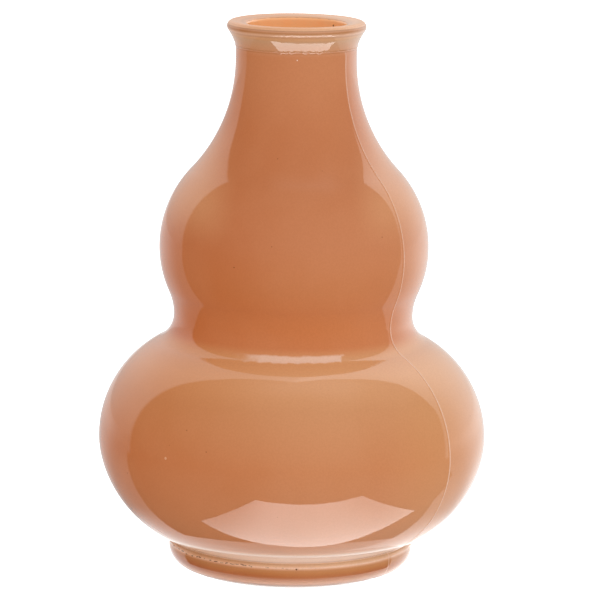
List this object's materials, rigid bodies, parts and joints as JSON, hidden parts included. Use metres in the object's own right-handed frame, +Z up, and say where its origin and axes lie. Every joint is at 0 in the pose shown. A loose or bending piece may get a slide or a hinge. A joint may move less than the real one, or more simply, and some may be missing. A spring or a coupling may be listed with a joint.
{
  "type": "bud vase",
  "caption": "Double-bulb bud vase in moulded glass with a glossy sprayed colour coat, a rolled foot and a flared lip around a straight round mouth.",
  "frame": {"origin": "centre of the foot, on the surface that the vase stands on", "axes": "+Z up along the vase's axis and out of the mouth; the mould seams lie 53 degrees from -Y towards +X, and opposite"},
  "size_m": [0.1254, 0.1254, 0.178],
  "materials": {
    "glass": "moulded, fire polished",
    "coat": "sprayed gloss lacquer"
  },
  "bodies": {
    "root": {"glass_body": "glass", "colour_coat": "coat"}
  },
  "joints": []
}
